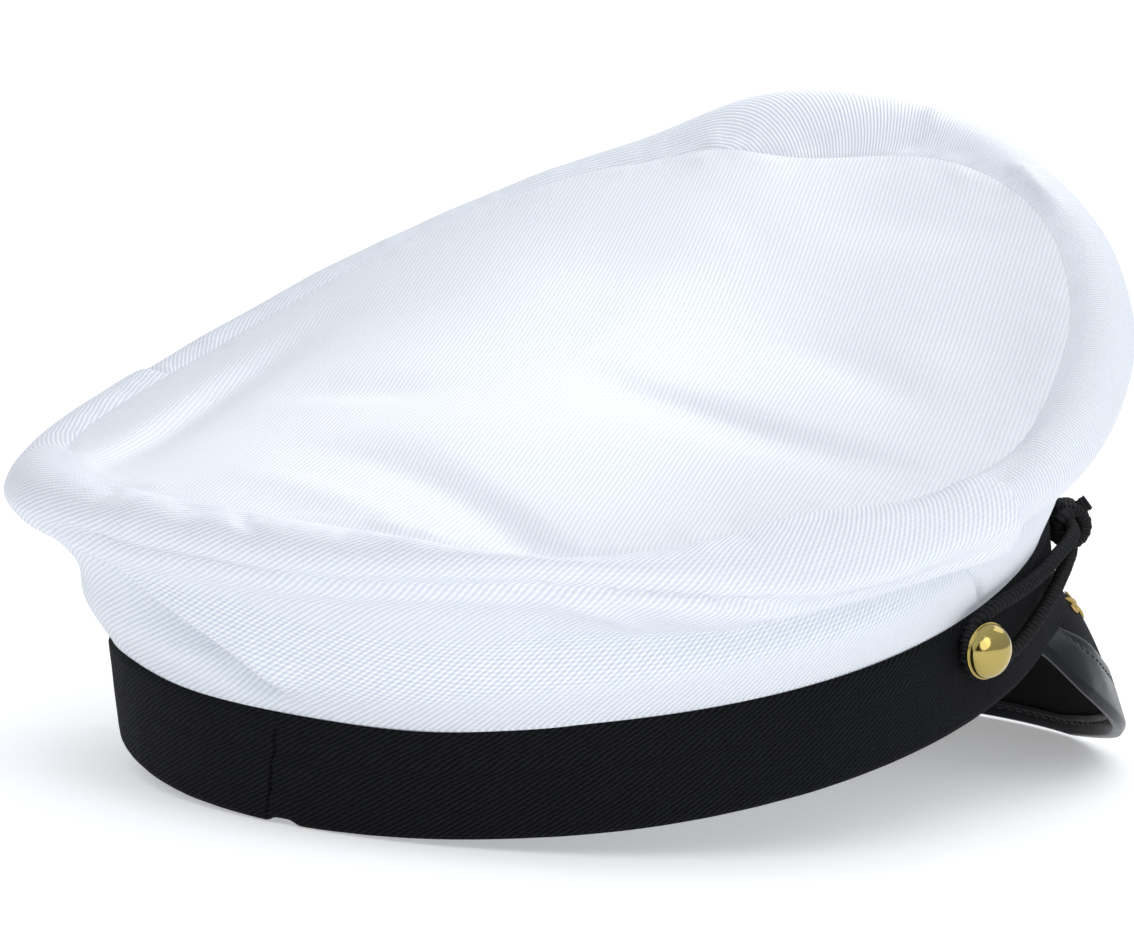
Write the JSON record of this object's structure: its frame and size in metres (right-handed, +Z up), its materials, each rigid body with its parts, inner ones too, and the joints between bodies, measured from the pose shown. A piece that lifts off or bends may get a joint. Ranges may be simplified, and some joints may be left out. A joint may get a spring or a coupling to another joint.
{
  "type": "captain hat",
  "caption": "Peaked captain hat with a white cloth crown, black band, black visor with gold leaf sprays and glossy edging, chin cord and gold side buttons.",
  "frame": {"origin": "middle of the outline seen from above, on the surface the hat lies on", "axes": "+Z up, -Y towards the visor, +Y towards the back of the head, -X towards the wearer's right side. The hat lies on its visor's edge and the back of its band, so the band is tilted 13.3 degrees, front up."},
  "size_m": [0.223, 0.2566, 0.1363],
  "materials": {
    "white_twill": "matte ribbed cloth",
    "black_twill": "matte twill",
    "black_felt": "matte felt",
    "black_vinyl": "glossy vinyl",
    "black_braid": "braided cord, matte",
    "gold_metal": "polished gold-coloured",
    "gold_thread": "metallic embroidery thread"
  },
  "bodies": {
    "root": {"crown_top": "white_twill", "crown_side_front": "white_twill", "crown_side_rear": "white_twill", "band": "black_twill", "visor": "black_felt", "visor_binding": "black_vinyl", "chin_cord": "black_braid", "leaf_spray_right": "gold_thread", "knot_right": "black_braid", "button_right": "gold_metal", "leaf_spray_left": "gold_thread", "knot_left": "black_braid", "button_left": "gold_metal"}
  },
  "joints": []
}
